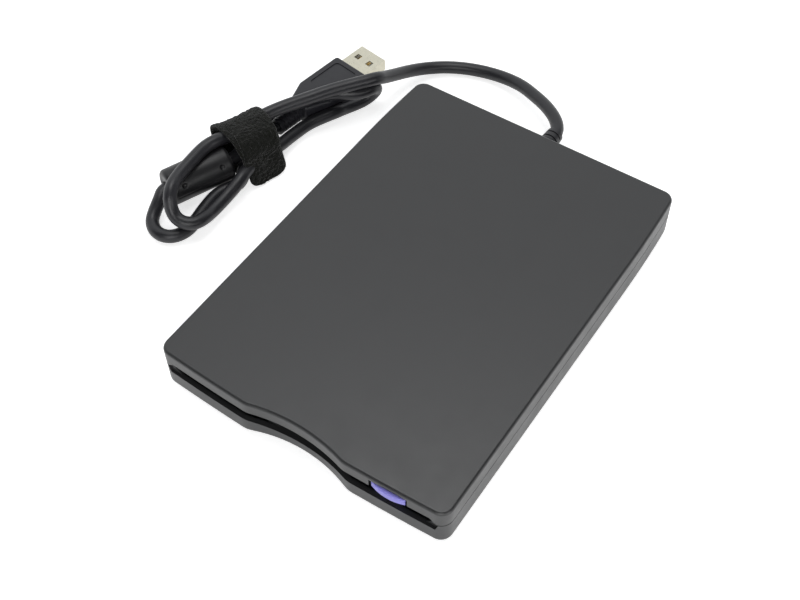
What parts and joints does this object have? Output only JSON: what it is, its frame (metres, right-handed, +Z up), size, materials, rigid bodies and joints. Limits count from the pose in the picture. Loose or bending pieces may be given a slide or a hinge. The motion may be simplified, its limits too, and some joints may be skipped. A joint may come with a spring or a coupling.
{
  "type": "external floppy disk drive",
  "caption": "Slim portable floppy disk drive with a bowed front, thumb scoop, disk slot, eject button and a captive USB cord folded in a hook and loop strap.",
  "frame": {"origin": "middle of the case in plan, on the surface the feet stand on", "axes": "+X to the right seen from the front, +Y to the rear where the cord leaves, +Z up; the disk slot faces -Y"},
  "size_m": [0.1576, 0.1775, 0.0176],
  "materials": {
    "case_plastic": "fine satin-textured dark grey moulding",
    "button_plastic": "smooth violet-blue moulding",
    "foot_rubber": "soft pad",
    "screw_steel": "dark zinc",
    "spring_steel": "wire",
    "pressed_steel": "zinc plated sheet",
    "ground_steel": "ground",
    "cast_alloy": "die cast",
    "bearing_bronze": "sintered",
    "magnet_ferrite": "bonded magnet",
    "coil_copper": "enamelled windings",
    "board_green": "solder mask",
    "chip_black": "moulded packages",
    "head_ceramic": "polished slider",
    "socket_white": "connector housing",
    "ribbon_film": "flat cable film",
    "lead_insulation": "wire insulation",
    "cord_jacket": "soft semi-gloss jacket",
    "strap_fabric": "hook and loop pile",
    "filter_plastic": "moulded filter case",
    "plug_overmould": "soft overmould",
    "plug_steel": "nickel plated",
    "tongue_plastic": "white insulator",
    "label_film": "blank printed-label film",
    "contact_gold": "plated contacts"
  },
  "bodies": {
    "drive_body": {"lower_cover": "case_plastic", "top_cover": "case_plastic", "rubber_feet": "foot_rubber", "rating_label": "label_film", "case_screws": "screw_steel", "eject_springs": "spring_steel", "chassis": "pressed_steel", "top_shield": "pressed_steel", "guide_rod": "ground_steel", "chassis_screws": "screw_steel", "motor_board": "board_green", "stator_coils": "coil_copper", "spindle_bearing": "bearing_bronze", "switch_bodies": "chip_black", "stepper_bracket": "pressed_steel", "stepper_can": "ground_steel", "latch_spring": "spring_steel", "main_board": "board_green", "main_chips": "chip_black", "usb_board": "board_green", "usb_chips": "chip_black", "board_screws": "screw_steel", "lead_socket": "socket_white", "ribbon_cable": "ribbon_film", "inner_leads": "lead_insulation", "cable_gland": "cord_jacket", "usb_cord": "cord_jacket", "cord_hank": "cord_jacket", "cable_strap": "strap_fabric", "ferrite_core": "filter_plastic", "usb_plug_body": "plug_overmould", "usb_strain_relief": "plug_overmould", "usb_plug_shell": "plug_steel", "usb_tongue": "tongue_plastic", "usb_contacts": "contact_gold"},
    "eject_slide": {"eject_button": "button_plastic", "slide_plate": "pressed_steel"},
    "holder": {"disk_holder": "pressed_steel"},
    "rotor": {"spindle_rotor": "pressed_steel", "rotor_magnet": "magnet_ferrite", "spindle_hub": "ground_steel"},
    "carriage": {"head_carriage": "cast_alloy", "lower_head": "head_ceramic", "arm_pin": "ground_steel"},
    "upper_head_arm": {"upper_arm": "pressed_steel", "upper_head": "head_ceramic"},
    "feed_screw": {"lead_screw": "ground_steel"},
    "latch": {"latch_lever": "pressed_steel"},
    "disk_in_switch": {"disk_in_plunger": "socket_white"},
    "density_switch": {"density_plunger": "socket_white"},
    "write_protect_switch": {"write_protect_plunger": "socket_white"}
  },
  "joints": [
    {"name": "eject_button_travel", "type": "slide", "parent": "drive_body", "child": "eject_slide", "axis": [0, 1, 0], "range_m": [-0.0045, 0], "deforming": ["eject_springs"]},
    {"name": "holder_drop", "type": "slide", "parent": "drive_body", "child": "holder", "axis": [0, 0, 1], "range_m": [-0.002, 0]},
    {"name": "latch_swing", "type": "hinge", "parent": "drive_body", "child": "latch", "pos_m": [-0.034, 0.044, 0.0104], "axis": [0, 0, 1], "range_deg": [0, 50]},
    {"name": "head_feed", "type": "slide", "parent": "drive_body", "child": "carriage", "axis": [0, 1, 0], "range_m": [-0.0158, 0]},
    {"name": "feed_screw_turn", "type": "hinge", "parent": "drive_body", "child": "feed_screw", "pos_m": [0.018, 0.04, 0.0098], "axis": [0, 1, 0], "range_deg": [-1520, 0]},
    {"name": "upper_arm_lift", "type": "hinge", "parent": "carriage", "child": "upper_head_arm", "pos_m": [0, 0.0505, 0.01], "axis": [1, 0, 0], "range_deg": [0, 7]},
    {"name": "spindle_spin", "type": "hinge", "parent": "drive_body", "child": "rotor", "pos_m": [0, -0.02, 0.006], "axis": [0, 0, 1], "continuous": true},
    {"name": "disk_in_press", "type": "slide", "parent": "drive_body", "child": "disk_in_switch", "axis": [0, 0, 1], "range_m": [-0.0012, 0], "stiffness_N_per_m": 150},
    {"name": "density_press", "type": "slide", "parent": "drive_body", "child": "density_switch", "axis": [0, 0, 1], "range_m": [-0.0012, 0], "stiffness_N_per_m": 150},
    {"name": "write_protect_press", "type": "slide", "parent": "drive_body", "child": "write_protect_switch", "axis": [0, 0, 1], "range_m": [-0.0012, 0], "stiffness_N_per_m": 150}
  ],
  "couplings": [
    {"joint": "holder_drop", "follows": "eject_button_travel", "ratio": 0.44444},
    {"joint": "latch_swing", "follows": "eject_button_travel", "rad_per_m": -193.92},
    {"joint": "upper_arm_lift", "follows": "eject_button_travel", "rad_per_m": -27.149},
    {"joint": "feed_screw_turn", "follows": "head_feed", "rad_per_m": 1675.5}
  ]
}
